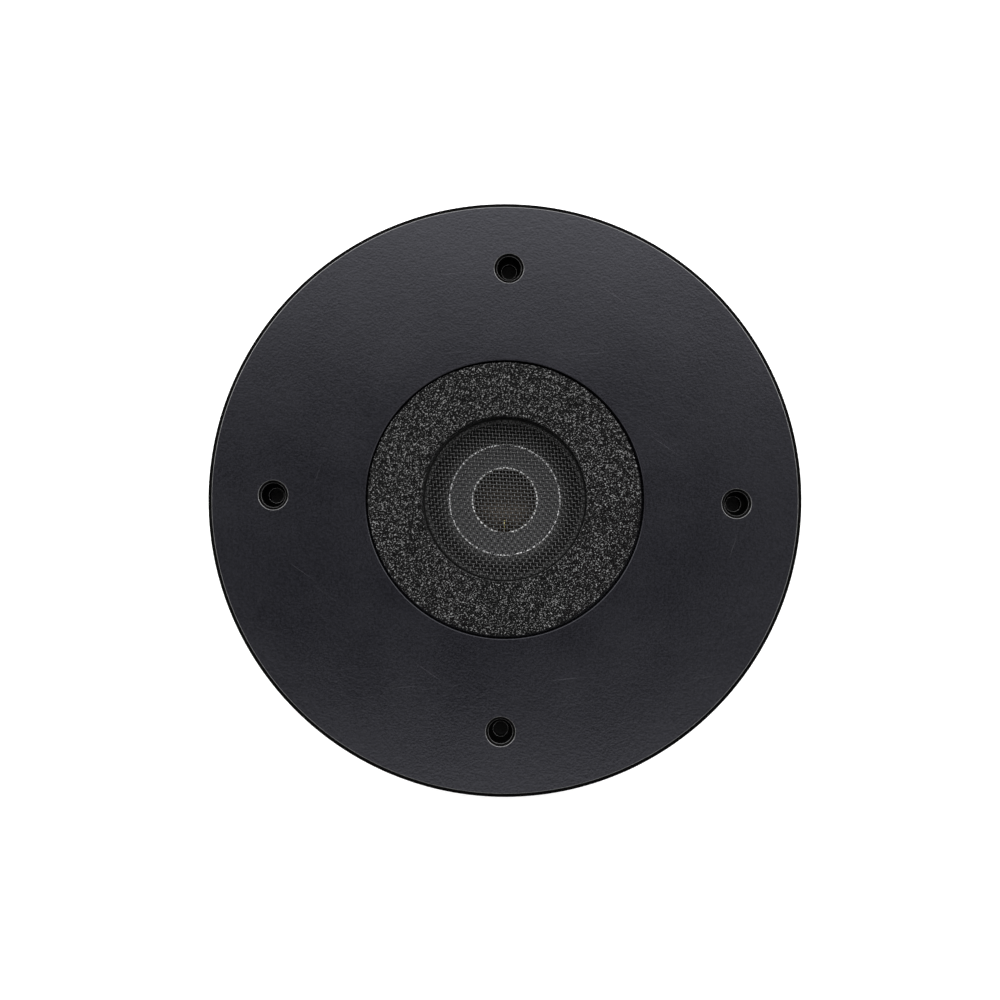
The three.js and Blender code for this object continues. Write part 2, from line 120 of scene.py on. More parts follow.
lens = bpy.data.cameras.new("camera")
lens.lens = 58.5
lens.sensor_width = 36
lens.clip_start = 0.01
camera = bpy.data.objects.new("camera", lens)
camera.matrix_world = Matrix((camera_x, camera_y, back)).transposed().to_4x4()
camera.matrix_world.translation = eye * MM
scene.collection.objects.link(camera)
scene.camera = camera
print(f"camera {camera_height:.0f} mm above the plate, lens {lens.lens} mm")

# %% [markdown]
# ## Helpers for materials
#
# A Blender material is a small network of nodes. Most finishes here are the same idea: a noise pattern in
# the object's own coordinates picks between two close colours, and a finer one makes tiny bumps. Writing
# the network once as a function keeps every finish short, and each call only says what is special about it.

# %% Node helpers
def add_node(tree, kind, inputs=(), **settings):
    """Adds one shader node. Settings are its options, and each input is a number, a colour or a socket."""
    made = tree.nodes.new("ShaderNode" + kind)
    for name, value in settings.items():
        setattr(made, name, value)
    for name, value in dict(inputs).items():
        if isinstance(value, bpy.types.NodeSocket):
            tree.links.new(value, made.inputs[name])
        else:
            made.inputs[name].default_value = value
    return made


def math_node(tree, operation, first, second=0.0, third=0.0):
    return add_node(tree, "Math", {0: first, 1: second, 2: third}, operation=operation).outputs[0]


def noise(tree, vector, scale, detail=3.0, roughness=0.55):
    inputs = {"Vector": vector, "Scale": scale, "Detail": detail, "Roughness": roughness}
    return add_node(tree, "TexNoise", inputs).outputs[0]


def ramp(tree, value, stops):
    """A colour ramp: stops are (position, grey or RGB)."""
    made = add_node(tree, "ValToRGB", {0: value})
    elements = made.color_ramp.elements
    while len(elements) < len(stops):
        elements.new(0.5)
    for element, (position, colour) in zip(elements, stops):
        element.position = position
        level = colour if isinstance(colour, tuple) else (colour,) * 3
        element.color = (*level, 1)
    return made.outputs[0]


def new_material(name):
    material = bpy.data.materials.new(name)
    material.use_nodes = True
    tree = material.node_tree
    place = add_node(tree, "TexCoord").outputs["Object"]
    return material, tree, tree.nodes["Principled BSDF"], place


def turning_marks(tree, place):
    """The place to read a pattern for lathe marks: distance from the axis and height, plus a trace of the
    place itself, so that the rings aren't perfect."""
    flat = add_node(tree, "VectorMath", {0: place, 1: (1, 1, 0)}, operation="MULTIPLY").outputs[0]
    distance = add_node(tree, "VectorMath", {0: flat}, operation="LENGTH").outputs["Value"]
    height = add_node(tree, "SeparateXYZ", {0: place}).outputs[2]
    trace = add_node(tree, "VectorMath", {0: place, "Scale": 0.02}, operation="SCALE").outputs[0]
    ring = add_node(tree, "CombineXYZ", {0: distance, 1: height}).outputs[0]
    return add_node(tree, "VectorMath", {0: ring, 1: trace}, operation="ADD").outputs[0]


def finish(name, dark, light, grain, roughness, bump=0.0, metallic=0.0, marks="grain", specular=0.5,
           detail=3.0):
    """A plain finish. Grain is the pattern's size in mm, roughness a pair, bump its height in mm. Marks are
    "grain", "turned", or three scales that stretch the pattern."""
    material, tree, shader, place = new_material(name)
    if marks == "turned":
        place = turning_marks(tree, place)
    elif marks != "grain":
        place = add_node(tree, "Mapping", {"Vector": place, "Scale": marks}).outputs[0]
    fine = noise(tree, place, 1 / (grain * MM), detail)
    broad = noise(tree, place, 1 / (grain * 9 * MM), 2.0)
    mixed = math_node(tree, "MULTIPLY_ADD", fine, 0.6, math_node(tree, "MULTIPLY", broad, 0.4))
    tree.links.new(ramp(tree, mixed, [(0.3, dark), (0.7, light)]), shader.inputs["Base Color"])
    spread = add_node(tree, "MapRange", {0: broad, 1: 0.3, 2: 0.7, 3: roughness[0], 4: roughness[1]})
    tree.links.new(spread.outputs[0], shader.inputs["Roughness"])
    shader.inputs["Metallic"].default_value = metallic
    shader.inputs["Specular IOR Level"].default_value = specular
    if bump:
        inputs = {"Height": fine, "Strength": 1.0, "Distance": bump * MM}
        tree.links.new(add_node(tree, "Bump", inputs).outputs[0], shader.inputs["Normal"])
    return material


print("material helpers ready")

# %% [markdown]
# ## Helpers for shapes
#
# Nearly every piece of a tweeter is turned on a lathe or moulded round, so one helper turns an outline
# round the axis. Blender has a Screw modifier for that, but a grid of points computed with numpy is as
# short, and it gives the mesh straight away. Real edges are never knife-sharp, so a second helper eases
# every corner of the outline first.

# %% Outlines, turned shapes and meshes
def eased(corners, easing=0.12, steps=4):
    """Rounds a closed outline of (radius, height) points, listed anticlockwise.

    Each corner becomes a quadratic Bezier curve between two points on its sides, at most `easing` mm away.
    One more point on each side keeps the flat faces flat in the shading. Corners on the axis stay put.
    """
    corner = np.asarray(corners, float)
    wanted = np.where(corner[:, 0] < 1e-9, 0, np.broadcast_to(easing, len(corner)))

    def towards(neighbour):
        side = neighbour - corner
        length = np.linalg.norm(side, axis=1)
        return side * (np.minimum(wanted, 0.33 * length) / length)[:, None]

    before = towards(np.roll(corner, 1, 0))
    after = towards(np.roll(corner, -1, 0))
    t = np.linspace(0, 1, steps + 1)[None, :, None]
    curve = corner[:, None] + (1 - t) ** 2 * before[:, None] + t ** 2 * after[:, None]
    first = (corner + 1.35 * before)[:, None]
    last = (corner + 1.35 * after)[:, None]
    points = np.concatenate([first, curve, last], axis=1).reshape(-1, 2)
    apart = np.linalg.norm(points - np.roll(points, 1, 0), axis=1) > 1e-5
    return points[apart]


def band(inner, outer, bottom, top):
    """The outline of a plain ring."""
    return [(inner, bottom), (outer, bottom), (outer, top), (inner, top)]


def revolve(outline, sides=192):
    """Turns a closed outline round Z: x = r cos a, y = r sin a. A point on the axis stays one point."""
    r, z = np.asarray(outline, float).T
    count = len(r)
    angle = np.arange(sides) * 2 * np.pi / sides
    height = np.broadcast_to(z[:, None], (count, sides))
    points = np.stack([np.outer(r, np.cos(angle)), np.outer(r, np.sin(angle)), height], axis=-1)
    index = np.arange(count * sides).reshape(count, sides)
    on_axis = r < 1e-6
    index[on_axis] = index[on_axis][:, :1]
    above = np.roll(index, -1, 0)
    quads = np.stack([index, np.roll(index, -1, 1), np.roll(above, -1, 1), above], axis=-1)
    both = on_axis & np.roll(on_axis, -1)
    return points.reshape(-1, 3), quads[~both].reshape(-1, 4)


def grid_faces(rows, columns, closed_rows=False, closed_columns=False):
    """The four corners of every cell of a grid of points, row by row."""
    index = np.arange(rows * columns).reshape(rows, columns)
    if closed_rows:
        index = np.concatenate([index, index[:1]], axis=0)
    if closed_columns:
        index = np.concatenate([index, index[:, :1]], axis=1)
    return np.stack([index[:-1, :-1], index[:-1, 1:], index[1:, 1:], index[1:, :-1]], axis=-1).reshape(-1, 4)


def as_lists(faces):
    return faces.tolist() if isinstance(faces, np.ndarray) else faces


def build(name, points, faces, material, smooth_angle=35.0):
    """Makes a mesh object from points in mm. Repeated corners are merged and the normals face outwards.

    Blender guesses which way is out, and very bumpy skins such as foam can fool it. A closed mesh whose faces
    point outwards has a positive volume, so a negative one means that all of them have to be turned over.
    """
    mesh = bpy.data.meshes.new(name)
    corners = (np.asarray(points) * MM).tolist()
    loops = [list(dict.fromkeys(face)) for face in as_lists(faces)]
    mesh.from_pydata(corners, [], loops)
    work = bmesh.new()
    work.from_mesh(mesh)
    bmesh.ops.delete(work, geom=[v for v in work.verts if not v.link_faces], context="VERTS")
    bmesh.ops.recalc_face_normals(work, faces=work.faces)
    if work.calc_volume(signed=True) < 0:
        bmesh.ops.reverse_faces(work, faces=work.faces)
    work.to_mesh(mesh)
    work.free()
    mesh.shade_smooth()
    mesh.set_sharp_from_angle(angle=math.radians(smooth_angle))
    mesh.materials.append(material)
    made = bpy.data.objects.new(name, mesh)
    scene.collection.objects.link(made)
    return made


def put(piece, slot, *nodes, body="housing"):
    """Hides the CAD solids that a piece stands for and hangs it on the body it rides on. The slot is not
    used.
    """
    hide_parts(*nodes)
    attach(piece, body)
    worst = 0.0
    if len(nodes) == 1:
        made = np.array([v.co for v in piece.data.vertices])
        corners = np.array([list(corner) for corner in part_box(nodes[0])])
        worst = np.abs(np.array([made.min(0), made.max(0)]) - corners).max() / MM
    print(f"{piece.name}: {len(piece.data.polygons)} faces, box within {worst:.2f} mm of the CAD solid")
    return piece


def cut(piece, cutters):
    """Takes the cutters' shapes out of a piece, with exact Booleans that are applied at once."""
    for number, cutter in enumerate(cutters):
        step = piece.modifiers.new(f"cut {number}", "BOOLEAN")
        step.operation = "DIFFERENCE"
        step.solver = "EXACT"
        step.object = cutter
    solid = piece.evaluated_get(bpy.context.evaluated_depsgraph_get())
    mesh = bpy.data.meshes.new_from_object(solid)
    piece.modifiers.clear()
    piece.data = mesh
    for cutter in cutters:
        bpy.data.objects.remove(cutter)
    return piece


def moved(points, x=0.0, y=0.0, z=0.0):
    return np.asarray(points) + np.array([x, y, z])


def tubes(paths, thickness, sideways, sides=8):
    """Round bars along paths of shape (bars, stations, 3). At each station a circle stands across the path:

    centre + thickness (cos a sideways + sin a upwards), where upwards is at right angles to both.
    """
    paths = np.asarray(paths, float)
    bars, stations = paths.shape[:2]
    along = np.gradient(paths, axis=1)
    along /= np.linalg.norm(along, axis=2, keepdims=True)
    across = np.asarray(sideways, float) - along * (along @ np.asarray(sideways, float))[..., None]
    across /= np.linalg.norm(across, axis=2, keepdims=True)
    upwards = np.cross(across, along)
    angle = (np.arange(sides) * 2 * np.pi / sides)[None, None, :, None]
    thick = np.broadcast_to(thickness, (bars, stations, sides))[..., None]
    circle = np.cos(angle) * across[:, :, None] + np.sin(angle) * upwards[:, :, None]
    points = paths[:, :, None] + thick * circle
    start = (np.arange(bars) * stations * sides)[:, None, None]
    quads = (grid_faces(stations, sides, closed_columns=True)[None] + start).reshape(-1, 4)
    ring = np.arange(sides)[None] + start[:, 0]
    caps = np.concatenate([ring, ring + (stations - 1) * sides])
    return points.reshape(-1, 3), quads.tolist() + caps.tolist()


print("shape helpers ready")

# %% [markdown]
# ## Floor and light
#
# Black shiny things are made visible by lighting what they reflect. A dark patch straight above keeps the
# plate black, and a big pale panel far behind it (+Y), with a weaker one in front (-Y), draws the soft
# gradient towards the edges. Panels could be area lights, but a sky made from two ramps is smoother and has
# no noise: one ramp runs along Y, one along X, and they are added. Close to the horizon it is evenly pale,
# as a studio wall is.

# %% Floor
def pale_floor(size, drop=-0.1 * MM):
    """A plain sheet, a hair below the tweeter so that the two surfaces don't lie in one plane."""
    floor_mesh = bpy.data.meshes.new("floor")
    corners = [(x, y, drop) for x, y in ((-size, -size), (size, -size), (size, size), (-size, size))]
    floor_mesh.from_pydata(corners, [], [(0, 1, 2, 3)])
    floor = bpy.data.objects.new("floor", floor_mesh)
    scene.collection.objects.link(floor)
    material, tree, shader, place = new_material("floor_paper")
    mottled = noise(tree, place, 9.0)
    tree.links.new(ramp(tree, mottled, [(0.3, 0.86), (0.7, 0.9)]), shader.inputs["Base Color"])
    shader.inputs["Roughness"].default_value = 0.9
    shader.inputs["Specular IOR Level"].default_value = 0.1
    shader.inputs["Emission Color"].default_value = (1, 1, 1, 1)
    shader.inputs["Emission Strength"].default_value = 0.45
    floor_mesh.materials.append(material)
    return floor


pale_floor(4.0)

# %% Soft sky
# Each stop is (sine of the angle from straight up, brightness). The ramp holds brightness over sky_top.
sky_top = 5.0
along_y = [(-1.0, 0.05), (-0.42, 0.08), (-0.31, 1.5), (-0.22, 2.5), (-0.11, 0.0), (-0.02, 0.0), (0.09, 0.1),
           (0.2, 1.7), (0.31, 4.7), (0.5, 3.2), (0.75, 2.8), (1.0, 1.4)]
along_x = [(-1.0, 0.12), (-0.45, 0.12), (-0.3, 0.4), (-0.18, 0.06), (-0.08, 0.0), (0.08, 0.0), (0.2, 0.4),
           (0.4, 0.12), (1.0, 0.12)]
pale_below, ramps_above = 0.12, 0.24

world = bpy.data.worlds.new("soft_sky")
scene.world = world
world.use_nodes = True
sky = world.node_tree
direction = add_node(sky, "SeparateXYZ", {0: add_node(sky, "TexCoord").outputs["Generated"]})


def sky_ramp(axis, stops):
    place = add_node(sky, "MapRange", {0: direction.outputs[axis], 1: -1.0, 2: 1.0}).outputs[0]
    made = ramp(sky, place, [((sine + 1) / 2, level / sky_top) for sine, level in stops])
    made.node.color_ramp.interpolation = "EASE"
    return made


both = add_node(sky, "VectorMath", {0: sky_ramp(0, along_x), 1: sky_ramp(1, along_y)}, operation="ADD")
fade = {0: direction.outputs[2], 1: pale_below, 2: ramps_above, 3: 1.0, 4: 0.0}
near_horizon = add_node(sky, "MapRange", fade).outputs[0]
pale = (1 / sky_top, 1 / sky_top, 1 / sky_top, 1)
whole = add_node(sky, "Mix", {0: near_horizon, 6: both.outputs[0], 7: pale}, data_type="RGBA").outputs[2]
backdrop = sky.nodes["Background"]
sky.links.new(whole, backdrop.inputs["Color"])
backdrop.inputs["Strength"].default_value = sky_top
scene.view_settings.view_transform = "Standard"
print(f"sky from {min(level for _, level in along_y)} to {max(level for _, level in along_y)}")

# %% [markdown]
# ## Finishes
#
# The faceplate is black anodised aluminium. Its colour comes almost only from what it reflects, so the work
# is in the gloss: a fine satin grain, a soft cloudiness, and a few faint scratches from handling. Scratches
# could be drawn one by one, but noise stretched about 70 times one way gives the same random
# hairlines.

# %% Black satin plate
def scratches(tree, place, angle, cut_off):
    """Hairlines along one direction: the sharp tops of a noise that is stretched along them."""
    turned = add_node(tree, "Mapping", {"Vector": place, "Rotation": (0, 0, angle)}).outputs[0]
    streaks = add_node(tree, "Mapping", {"Vector": turned, "Scale": (22, 1500, 1)}).outputs[0]
    lines = noise(tree, streaks, 1.0, 1.0)
    where = noise(tree, turned, 45.0, 1.0)
    lines = add_node(tree, "MapRange", {0: lines, 1: cut_off, 2: cut_off + 0.05}).outputs[0]
    where = add_node(tree, "MapRange", {0: where, 1: 0.56, 2: 0.68}).outputs[0]
    return math_node(tree, "MULTIPLY", lines, where)


def satin_plate():
    material, tree, shader, place = new_material("black_satin_plate")
    grain = noise(tree, place, 2200.0, 2.0)
    peel = noise(tree, place, 700.0, 2.0)
    cloud = noise(tree, place, 60.0, 3.0)
    lines = math_node(tree, "MAXIMUM", scratches(tree, place, 0.6, 0.7), scratches(tree, place, -0.12, 0.7))
    lines = math_node(tree, "MAXIMUM", lines, scratches(tree, place, 1.9, 0.72))
    body = ramp(tree, grain, [(0.35, (0.0003, 0.0003, 0.0012)), (0.65, (0.0065, 0.0065, 0.009))])
    faint = math_node(tree, "MULTIPLY", lines, 0.3)
    scratched = add_node(tree, "Mix", {0: faint, 6: body, 7: (0.05, 0.05, 0.054, 1)}, data_type="RGBA")
    tree.links.new(scratched.outputs[2], shader.inputs["Base Color"])
    gloss = add_node(tree, "MapRange", {0: cloud, 1: 0.3, 2: 0.7, 3: 0.19, 4: 0.23}).outputs[0]
    dulled = math_node(tree, "MULTIPLY_ADD", lines, 0.15, gloss)
    tree.links.new(dulled, shader.inputs["Roughness"])
    shader.inputs["Specular Tint"].default_value = (0.9, 0.9, 1.0, 1)
    shader.inputs["Specular IOR Level"].default_value = 0.48
    small = add_node(tree, "Bump", {"Height": grain, "Strength": 1.0, "Distance": 0.018 * MM}).outputs[0]
    bumps = add_node(tree, "Bump", {"Height": peel, "Strength": 1.0, "Distance": 0.012 * MM, "Normal": small})
    tree.links.new(bumps.outputs[0], shader.inputs["Normal"])
    return material


plate_finish = satin_plate()
matt_rim = finish("black_matt_rim", 0.0015, 0.004, 0.5, (0.85, 0.95), 0.01, specular=0.0)
# A bright finish for thin bands on the plate's edges and in its holes: a painted highlight.
painted_highlight_edge = finish("painted_highlight_satin_edge", 0.09, 0.2, 0.3, (0.3, 0.42), 0.003, 0.6)
print("plate finish ready")

# %% [markdown]
# The other finishes are plainer. Moulded plastic has a fine texture, turned metal has rings from the tool,
# ferrite is a dull ceramic, felt and foam swallow light, and copper and brass vary a little where they
# tarnish.

# %% Plain finishes
plastic = finish("black_moulded_plastic", 0.008, 0.014, 0.35, (0.38, 0.46), 0.01)
ring_plastic = finish("black_ring_plastic", 0.0015, 0.003, 0.3, (0.6, 0.7), 0.01, specular=0.12)
gasket_foam = finish("black_closed_foam", 0.008, 0.02, 0.25, (0.9, 0.97), 0.06, specular=0.2)
clamp_metal = finish("bright_turned_aluminium", (0.93, 0.93, 0.94), (0.98, 0.98, 0.98), 0.12, (0.46, 0.54),
                     0.002, 1.0, "turned")
bead_metal = finish("bright_bead", (0.92, 0.92, 0.91), (0.98, 0.98, 0.97), 0.1, (0.46, 0.54), 0.002, 1.0)
surround_film = finish("grey_surround_film", (0.065, 0.065, 0.07), (0.095, 0.095, 0.1), 0.3, (0.6, 0.7),
                       0.008, specular=0.35)
copper = finish("copper_wire", (0.5, 0.2, 0.1), (0.78, 0.4, 0.24), 0.3, (0.25, 0.4), 0.004, 1.0)
amber_film = finish("amber_film", (0.3, 0.14, 0.02), (0.5, 0.26, 0.06), 0.5, (0.25, 0.35), 0.003)
felt = finish("dark_felt", 0.012, 0.04, 0.12, (0.95, 1.0), 0.08, specular=0.1, detail=5.0)
zinc = finish("zinc_plate", (0.45, 0.45, 0.42), (0.62, 0.62, 0.6), 0.4, (0.3, 0.45), 0.004, 1.0)
ferrite = finish("ground_ferrite", 0.025, 0.05, 0.35, (0.55, 0.75), 0.012, specular=0.45, detail=5.0)
motor_steel = finish("black_passivated_steel", 0.03, 0.07, 0.2, (0.32, 0.45), 0.005, 0.9, "turned")
board_laminate = finish("brown_laminate", (0.11, 0.05, 0.018), (0.2, 0.1, 0.04), 0.3, (0.4, 0.55), 0.01,
                        marks=(1, 1, 5))
brass = finish("brass_rivet", (0.6, 0.42, 0.16), (0.8, 0.62, 0.3), 0.4, (0.22, 0.34), 0.003, 1.0)
tinned = finish("tinned_brass", (0.5, 0.5, 0.47), (0.68, 0.68, 0.65), 0.25, (0.28, 0.42), 0.004, 1.0,
                (4, 1, 0.4))
print(len(bpy.data.materials), "materials so far")

# %% [markdown]
# ## Faceplate
#
# The real plate is turned from thick aluminium, then drilled: four stepped holes near the edge for the
# screws that hold it to a door panel, and four under the foam for the motor. Turning the outline gives the
# body, and Booleans take out the holes. Each cutter is the hole's own shape, eased where the real edge
# catches the light.

# %% Faceplate and its holes
mount_circle = 50.65
screw_circle = 24.685
seat_radius = 18.9
boss_radius = 36.3
recess_radius = 30.47
head_bore, shank_bore, mouth = 2.65, 1.65, 3.25
bore_depth, shank_ring_depth, mouth_depth = 5.5, 5.9, 0.6
chamfer, rear_chamfer, recess_lip = 0.93, 0.5, 0.15
screw_head_bore, screw_bore, screw_seat_depth = 3, 1.75, 2.5
lead_x = 4
mount_spots = mount_circle * np.array([(1, 0), (0, 1), (-1, 0), (0, -1)])
screw_spots = screw_circle * math.sqrt(0.5) * np.array([(1, 1), (-1, 1), (-1, -1), (1, -1)])

plate_outline = [
    (seat_radius, top_plate_face), (boss_radius, top_plate_face), (boss_radius, flange_rear),
    (plate_radius - rear_chamfer, flange_rear), (plate_radius, flange_rear + rear_chamfer),
    (plate_radius, face - chamfer), (plate_radius - chamfer, face),
    (recess_radius + recess_lip, face), (recess_radius, face - recess_lip),
    (recess_radius, shelf), (seat_radius, shelf),
]
plate_easing = [0.2, 0.3, 0.2, 0.3, 0.3, 0.2, 0.09, 0.06, 0.06, 0.1, 0.1]


def hole_cutter(outline, easing, spot, sides=48):
    points, faces = revolve(eased(outline, easing), sides)
    return build("cutter", moved(points, *spot), faces, plate_finish)


mount_hole = [
    (0, flange_rear - 1), (shank_bore, flange_rear - 1),
    (shank_bore, face - shank_ring_depth), (shank_bore, face - bore_depth),
    (head_bore, face - bore_depth), (head_bore, face - mouth_depth),
    (mouth - 0.03, face - 0.07), (mouth + 0.06, face - 0.015), (mouth + 0.14, face + 0.02),
    (mouth + 0.14, face + 0.6), (0, face + 0.6),
]
mount_easing = [0, 0, 0, 0.04, 0.1, 0.12, 0.02, 0.02, 0, 0, 0]
screw_floor = shelf - screw_seat_depth
screw_hole = [
    (0, top_plate_face - 1), (screw_bore, top_plate_face - 1), (screw_bore, screw_floor),
    (screw_head_bore, screw_floor), (screw_head_bore, shelf + 1), (0, shelf + 1),
]
groove_half_width, groove_depth, groove_inner_end = 1.2, 1.2, 12.2


def groove(x):
    """A box that cuts one lead's groove in the boss, under the plate."""
    low_corner = np.array([x - groove_half_width, -boss_radius - 1, top_plate_face - 1])
    high_corner = np.array([x + groove_half_width, -groove_inner_end, top_plate_face + groove_depth])
    corner = np.array([(i, j, k) for i in (0, 1) for j in (0, 1) for k in (0, 1)])
    faces = np.array([(0, 1, 3, 2), (4, 6, 7, 5), (0, 4, 5, 1), (2, 3, 7, 6), (0, 2, 6, 4), (1, 5, 7, 3)])
    return build("cutter", low_corner + corner * (high_corner - low_corner), faces, plate_finish)


faceplate = build("faceplate_turned", *revolve(eased(plate_outline, plate_easing, 6), 256), plate_finish)
faceplate.data.materials.append(matt_rim)
faceplate.data.materials.append(painted_highlight_edge)
cutters = [hole_cutter(mount_hole, mount_easing, spot) for spot in mount_spots]
cutters += [hole_cutter(screw_hole, 0.1, spot) for spot in screw_spots]
cut(faceplate, cutters + [groove(-lead_x), groove(lead_x)])


def face_facts(piece):
    """Every face's centre in mm, its normal, and its area in square mm."""
    faces = piece.data.polygons
    centre, normal, area = np.zeros(len(faces) * 3), np.zeros(len(faces) * 3), np.zeros(len(faces))
    faces.foreach_get("center", centre)
    faces.foreach_get("normal", normal)
    faces.foreach_get("area", area)
    return centre.reshape(-1, 3) / MM, normal.reshape(-1, 3), area / MM ** 2


# %% [markdown]
# The plate's chamfer and holes are matt black. Thin bands along its sharpest edges, round the hole mouths
# and at the steps inside the holes get a bright finish, which is a painted highlight. Three separate
# pieces would be wrong, because it is one block of metal. So each face of the finished mesh gets one of
# three finishes, chosen by how far it is from the axis or a hole, how deep it lies and how much it is tilted.

# %% Paint on the rim and in the holes
centre, normal, area = face_facts(faceplate)
from_axis = np.hypot(centre[:, 0], centre[:, 1])
from_hole = np.linalg.norm(centre[:, None, :2] - mount_spots, axis=2).min(1)
depth = face - centre[:, 2]
tilt = np.degrees(np.arccos(np.clip(normal[:, 2], -1, 1)))
rim = (from_axis > plate_radius - 1.2) & (tilt > 38) & (tilt < 80) & (depth < 1.2)
# The bands on the rim, at the hole mouths, at the bore's step and at the top of the shank get the bright
# finish, a painted highlight.
rim_line = (from_axis > plate_radius - 1.2) & (tilt > 4) & (tilt <= 38)
in_hole = (from_hole < mouth + 0.2) & (depth > 0.003)
mouth_line = in_hole & (depth < 0.06)
bore_line = in_hole & (np.abs(depth - mouth_depth) < 0.09) & (from_hole > head_bore - 0.06)
shank_line = in_hole & (depth > 5.45) & (depth < 5.85) & (from_hole < shank_bore + 0.06)
lines = mouth_line | bore_line | shank_line | rim_line
finish_number = np.where(lines, 2, np.where(rim | in_hole, 1, 0))
faceplate.data.polygons.foreach_set("material_index", finish_number.astype(np.int32))
faceplate.data.polygons.foreach_set("use_smooth", (area < 1.2) | (np.abs(normal[:, 2]) < 0.9999))
put(faceplate, "black_plate", "faceplate")
print("faces by finish", np.bincount(finish_number))

# %% [markdown]
# ## Gasket, frame, throat and rings
#
# These are plain turned or moulded rings. The throat is the dished wall between the grille and the clamp
# ring: it is a quadratic curve in the CAD, so the same curve is used with more points. The clamp ring's lip
# is the bright circle round the surround, and its top is a low arch, so that it shines from every side.

# %% Round pieces around the diaphragm
throat_body, throat_bore = 18.6, 17.95
clamp_bore = 12.2
gasket_inner, gasket_outer = 36.8, 64
throat_foot = (12.55, clamp_top)
throat_bend = (15.8, clamp_top + 1)
throat_mouth = (16.9, high("throat_ring"))
share = np.linspace(0, 1, 24)[:, None]
bend_part = 2 * share * (1 - share) * np.array(throat_bend)
throat_wall = (1 - share) ** 2 * throat_mouth + bend_part + share ** 2 * throat_foot
throat_low = [(throat_body, clamp_top), (throat_body, shelf), (throat_bore, shelf),
              (throat_bore, throat_mouth[1])]
throat_outline = np.concatenate([throat_low, throat_wall])
throat_easing = np.array([0.1, 0.1, 0.05, 0.08, 0.06] + [0.0] * 22 + [0.04])


def ring_piece(name, outline, material, slot, node, easing=0.12, sides=192):
    points, faces = revolve(eased(outline, easing), sides)
    return put(build(name, points, faces, material), slot, node)


ring_piece("throat_wall", throat_outline, plastic, "black_plastic", "throat_ring", throat_easing)
edge_outline = band(17.62, throat_bore, low("grille_ring"), high("grille_ring"))
ring_piece("grille_edge_ring", edge_outline, ring_plastic, "black_plastic", "grille_ring", 0.15)
gasket_outline = band(gasket_inner, gasket_outer, low("mounting_gasket"), flange_rear)
gasket = ring_piece("gasket_ring", gasket_outline, gasket_foam, "gasket_foam", "mounting_gasket", 0.35)
frame_outline = [(12.7, top_plate_face), (18.4, top_plate_face), (18.4, low("clamp_ring")),
                 (14.5, low("clamp_ring")), (14.5, 25.8), (12.7, 25.8)]
frame_ring = build("diaphragm_seat", *revolve(eased(frame_outline, 0.08), 160), plastic)
cut(frame_ring, [groove(-lead_x), groove(lead_x)])
put(frame_ring, "black_plastic", "diaphragm_frame")
half_turn = np.linspace(0, np.pi, 9)
lip_middle, lip_half_width, lip_rise = 12.37, 0.17, 0.06
lip_r = lip_middle + lip_half_width * np.cos(half_turn)
lip_z = high("clamp_ring") - lip_rise + lip_rise * np.sin(half_turn)
clamp_body = [(clamp_bore, low("clamp_ring")), (throat_body, low("clamp_ring")), (throat_body, clamp_top),
              (12.54, clamp_top)]
clamp_outline = np.concatenate([clamp_body, np.stack([lip_r, lip_z], 1)])
clamp_easing = np.array([0.03, 0.05, 0.05, 0.03] + [0.0] * 9)
ring_piece("clamp_ring_turned", clamp_outline, clamp_metal, "bright_aluminium", "clamp_ring", clamp_easing,
           256)

# %% [markdown]
# ## Surround
#
# The surround is a thin soft film that lets the bowl move. It drops in one smooth S from the clamp ring to
# the bowl's rim. Its inner edge moves and its outer edge stays, but here it is built at rest on neither body.

# %% Surround
bead_outer = 7.5
rim_radius = 7.93
surround_wall = 0.25
surround_drop = 1.4
surround_outer = 14.2


def s_curve(t):
    """Smoothstep: 3t squared minus 2t cubed, flat at both ends."""
    return t * t * (3 - 2 * t)


slope_share = np.linspace(0, 1, 40)
slope_r = rim_radius + (clamp_bore - rim_radius) * slope_share
slope_z = dome_rim + surround_wall + surround_drop * s_curve(slope_share)
outer_top = high("surround")
under = np.stack([slope_r, slope_z - surround_wall], 1)
over = np.stack([slope_r, slope_z], 1)[::-1]
surround_outline = np.concatenate([
    [(bead_outer + 0.05, dome_rim)], under,
    [(surround_outer, outer_top - surround_wall), (surround_outer, outer_top)], over,
    [(bead_outer + 0.05, dome_rim + surround_wall)],
])
surround = build("surround_film", *revolve(surround_outline, 192), surround_film)
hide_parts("surround")
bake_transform(surround)
print("surround", len(surround.data.polygons), "faces")

# %% [markdown]
# ## Foam ring
#
# Open-cell foam is a maze of tiny bubbles whose walls have burst, which leaves thin struts around dark
# holes. A bump map would look painted on from the side, so the bubbles are real hollows here. Points are
# scattered one to a small cube, and a spot of the surface is a strut where two of them are almost equally
# near.

# %% Bubbles for the foam
def bubble_pattern(points, cell, seed):
    """How much further the second nearest scattered point is than the nearest, in cells."""
    place = points / cell
    cube = np.floor(place).astype(int)
    first_cube = cube.min(0) - 1
    jitter = np.random.default_rng(seed).random((*(cube.max(0) - first_cube + 2), 3))
    nearest = np.full(len(points), 9.0)
    second = nearest.copy()
    for step in np.ndindex(3, 3, 3):
        other = cube + np.array(step) - 1
        key = other - first_cube
        spot = other + jitter[key[:, 0], key[:, 1], key[:, 2]]
        distance = np.linalg.norm(place - spot, axis=1)
        second = np.minimum(second, np.maximum(nearest, distance))
        nearest = np.minimum(nearest, distance)
    return second - nearest


foam_inner, foam_outer = 18.12, 29.97
foam_low, foam_high = shelf, high("foam_ring")
foam_centre = np.array([*((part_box("foam_ring")[0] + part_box("foam_ring")[1]) / 2).xy]) / MM
around_foam = 960
large_cell, small_cell, pit_depth = 0.44, 0.27, 0.3


